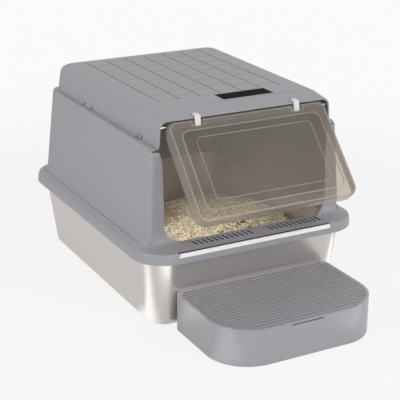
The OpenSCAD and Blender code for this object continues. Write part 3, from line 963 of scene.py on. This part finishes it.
@dataclass
class Studio:
    """Camera, lights, floor and white surroundings."""

    azimuth: float = -27.856
    elevation: float = 20.125
    distance: float = 2.40233
    target: Place = (0.028157, -0.009580, 0.136680)
    lens: float = 104.247
    ambient: float = 0.36
    mirror: float = 0.84
    floor_mirror: float = 0.84
    floor_mirror_share: float = 0.7
    floor_size: float = 14.0
    white: float = 0.955
    floor_white: float = 0.96
    floor_shares: Pair = (0.86, 0.14)
    shadow_reach: Pair = (0.7, 0.8)
    aim: Place = (0.0, -0.1, 0.15)
    fill_place: Place = (-0.03, -0.02, 0.36)
    fill_size: float = 0.24
    fill_power: float = 0.48
    fill_spread: float = 110.0
    patch_strength: float = 2.6
    patch_fade: float = 0.04
    patch_radius: float = 0.01
    # glowing fields of the floor that only reflections see: painted highlights on the corners of the pan and of the
    # step; each is a place, a half size and a share
    patches: tuple[tuple[Pair, Pair, float], ...] = (
        ((-0.32, -0.218), (0.11, 0.020), 0.55),
        ((0.31, -0.250), (0.09, 0.020), 0.8),
        ((-0.262, -0.455), (0.09, 0.030), 1.0),
        ((0.215, -0.550), (0.07, 0.025), 1.0),
    )
    lamps: tuple[tuple[str, Place, float, float], ...] = (
        ("top", (0.2, 0.3, 2.6), 2.2, 9.0),
        ("left", (-2.4, -0.6, 1.1), 1.6, 24.0),
        ("front", (0.9, -2.6, 1.5), 1.6, 29.0),
        ("low", (-0.3, -2.6, 0.7), 0.8, 5.0),
        ("right", (2.4, -0.4, 1.0), 1.6, 6.0),
        ("back", (-0.6, 2.6, 1.6), 1.6, 1.0),
    )

    def camera(self) -> None:
        """Place the camera where the photograph was taken."""
        a, e = math.radians(self.azimuth), math.radians(self.elevation)
        aim = Vector(self.target)
        eye = aim + self.distance * Vector((math.sin(a) * math.cos(e), -math.cos(a) * math.cos(e), math.sin(e)))
        data = bpy.data.cameras.new("camera")
        data.lens, data.sensor_width, data.sensor_fit = self.lens, 36.0, "HORIZONTAL"
        data.clip_start, data.clip_end = 0.05, 50.0
        made = bpy.data.objects.new("camera", data)
        made.location = eye
        made.rotation_euler = (aim - eye).to_track_quat("-Z", "Y").to_euler()
        bpy.context.scene.collection.objects.link(made)
        bpy.context.scene.camera = made

    def lamp(self, name: str, place: Place, size: float, power: float) -> bpy.types.Object:
        """Hang one round lamp, aimed straight down.

        Args:
            name: its name.
            place: where it hangs.
            size: its diameter in metres.
            power: its power in watts.

        Returns:
            The lamp.
        """
        data = bpy.data.lights.new(name, "AREA")
        data.shape, data.size, data.energy = "DISK", size, power
        made = bpy.data.objects.new(name, data)
        made.location = place
        bpy.context.scene.collection.objects.link(made)
        return made

    def lights(self) -> None:
        """Hang the lamps, each aimed at the middle of the object."""
        for name, place, size, power in self.lamps:
            made = self.lamp(name, place, size, power)
            made.rotation_euler = (Vector(self.aim) - Vector(place)).to_track_quat("-Z", "Y").to_euler()

    def fill(self) -> None:
        """Hang a small soft lamp under the lid, so that the litter renders in its own colour."""
        made = self.lamp("fill", self.fill_place, self.fill_size, self.fill_power)
        made.data.spread = math.radians(self.fill_spread)
        made.visible_camera = False
        made.visible_glossy = False

    def surroundings(self) -> None:
        """Make the world a soft light that the camera sees as white."""
        world = bpy.data.worlds.new("world")
        bpy.context.scene.world = world
        world.use_nodes = True
        tree = world.node_tree
        tree.nodes.clear()
        out = tree.nodes.new("ShaderNodeOutputWorld")
        path = tree.nodes.new("ShaderNodeLightPath")
        below = None
        layers = ((None, self.ambient), ("Is Glossy Ray", self.mirror), ("Is Camera Ray", self.white))
        for ray, strength in layers:
            layer = tree.nodes.new("ShaderNodeBackground")
            layer.inputs["Color"].default_value = (1.0, 1.0, 1.0, 1.0)
            layer.inputs["Strength"].default_value = strength
            if below is not None:
                blend = tree.nodes.new("ShaderNodeMixShader")
                tree.links.new(path.outputs[ray], blend.inputs[0])
                tree.links.new(below.outputs[0], blend.inputs[1])
                tree.links.new(layer.outputs[0], blend.inputs[2])
                layer = blend
            below = layer
        tree.links.new(below.outputs[0], out.inputs["Surface"])

    def patch_mask(self, x: Value, y: Value) -> Value:
        """Give the share of each bright field of the floor, which only reflections see.

        Args:
            x: place along X on the floor.
            y: place along Y on the floor.

        Returns:
            The shares' sum.
        """
        masks = []
        for place, half, share in self.patches:
            edge = Shader.rounded_box(x - place[0], y - place[1], half, self.patch_radius)
            masks.append((1.0 - (edge / self.patch_fade).clamp()) * share)
        return sum(masks[1:], masks[0])

    def floor(self) -> None:
        """Lay the pale floor, which keeps the shadow near the object and is white farther out."""
        bpy.ops.object.select_all(action="DESELECT")
        bpy.ops.mesh.primitive_plane_add(size=self.floor_size, location=(0, 0, 0))
        plane = bpy.context.object
        plane.name = "floor"
        sh = Shader("floor_white")
        x, y, _ = sh.axes()
        lit = sh.node("ShaderNodeBsdfDiffuse", {}, {"Color": (0.9, 0.9, 0.9, 1.0)})
        mirrored, bright, glow = (sh.node("ShaderNodeEmission", {}, {"Strength": strength})
                                  for strength in (self.floor_mirror, self.patch_strength, self.floor_white))
        reflected = sh.node("ShaderNodeLightPath", output="Is Glossy Ray")
        seen = sh.node("ShaderNodeLightPath", output="Is Camera Ray")
        reach = (((x * x + y * y).power(0.5) - self.shadow_reach[0]) / self.shadow_reach[1]).clamp()
        share = seen * (self.floor_shares[0] + reach * self.floor_shares[1])
        patch = (reflected * self.patch_mask(x, y)).clamp()
        near = sh.node("ShaderNodeMixShader", {}, {0: reflected * self.floor_mirror_share, 1: lit, 2: mirrored})
        near = sh.node("ShaderNodeMixShader", {}, {0: patch, 1: near, 2: bright})
        clothe(plane, sh.surface(sh.node("ShaderNodeMixShader", {}, {0: share, 1: near, 2: glow})))

    def build(self) -> None:
        """Set the whole studio up."""
        bpy.context.scene.view_settings.view_transform = "Standard"
        self.camera()
        self.lights()
        self.fill()
        self.surroundings()
        self.floor()


def main() -> None:
    """Build the studio, then each sub-assembly in order, and log the face counts."""
    Studio().build()
    finishes = Finishes()
    for part in (Pan(), Litter(), Surround(), Lid(), Flap(), Step()):
        part.build(finishes)
        log.info("%s done", type(part).__name__)


if __name__ == "__main__":
    main()
